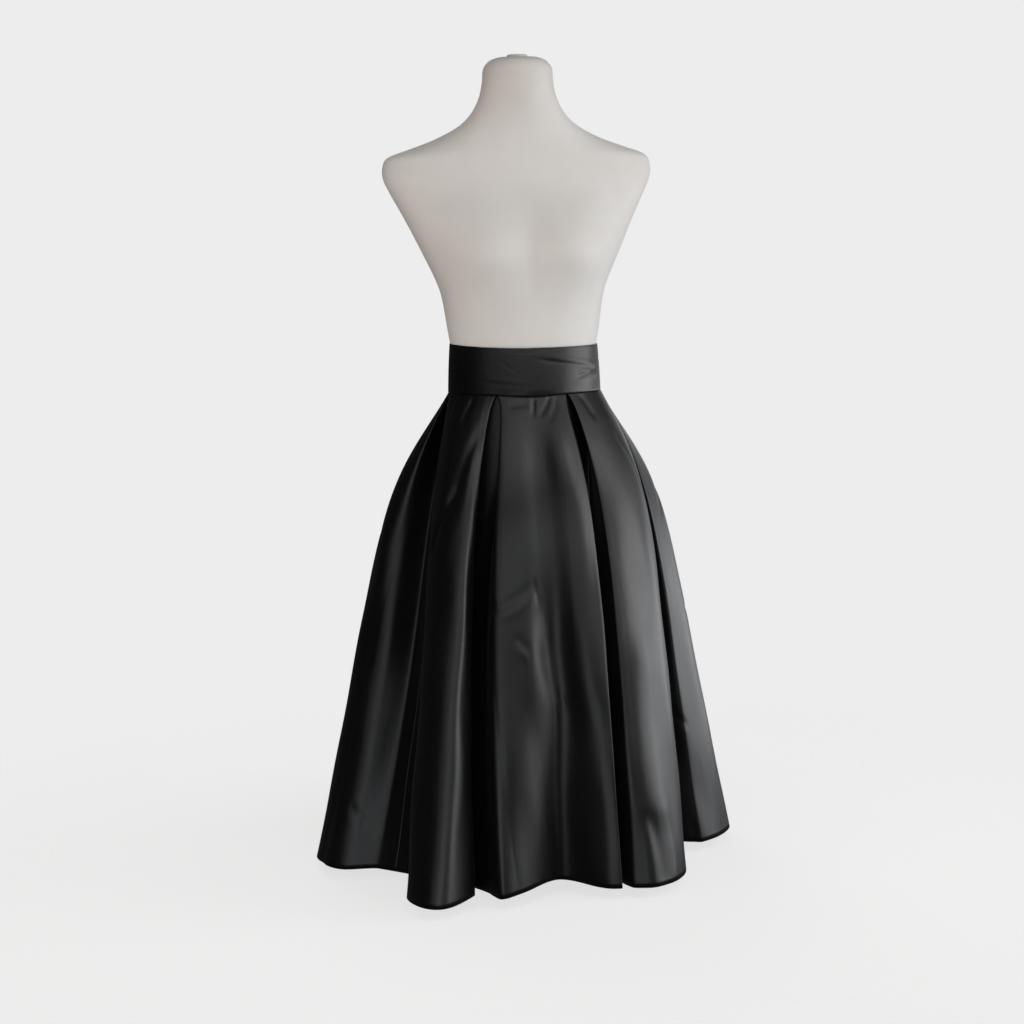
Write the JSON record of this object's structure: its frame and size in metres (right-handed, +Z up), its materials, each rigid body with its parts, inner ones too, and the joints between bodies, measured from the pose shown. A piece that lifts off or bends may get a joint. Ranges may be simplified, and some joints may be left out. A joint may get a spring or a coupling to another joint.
{
  "type": "pleated midi skirt worn by a limbless dress form on a stand",
  "caption": "Black satin midi skirt with a high waistband, inverted pleats and a flared wavy hem, worn by a smooth white limbless dress form on a hidden round-footed stand.",
  "frame": {"origin": "middle of the underside of the stand's round base, on the form's upright axis", "axes": "+Z up, -Y to the front of the skirt, +X to the wearer's left"},
  "size_m": [0.6971, 0.6574, 1.2918],
  "materials": {
    "black_satin": "black satin with a soft sheen",
    "form_cover": "smooth matt off-white",
    "zip_tape": "black woven tape",
    "zip_metal": "black enamelled metal",
    "stand_paint": "off-white satin paint"
  },
  "bodies": {
    "skirt_on_form": {"form_torso": "form_cover", "form_knob": "form_cover", "stand_pole": "stand_paint", "stand_base": "stand_paint", "waistband_front": "black_satin", "waistband_back_left": "black_satin", "waistband_back_right": "black_satin", "skirt_front": "black_satin", "skirt_back_left": "black_satin", "skirt_back_right": "black_satin", "zip_tape": "zip_tape", "zip_slider": "zip_metal"},
    "pull_tab": {"zip_pull": "zip_metal"}
  },
  "joints": [
    {"name": "pull_tab_swing", "type": "hinge", "parent": "skirt_on_form", "child": "pull_tab", "pos_m": [0, 0.09658, 0.8211], "axis": [1, 0, 0], "range_deg": [-4, 150]}
  ]
}
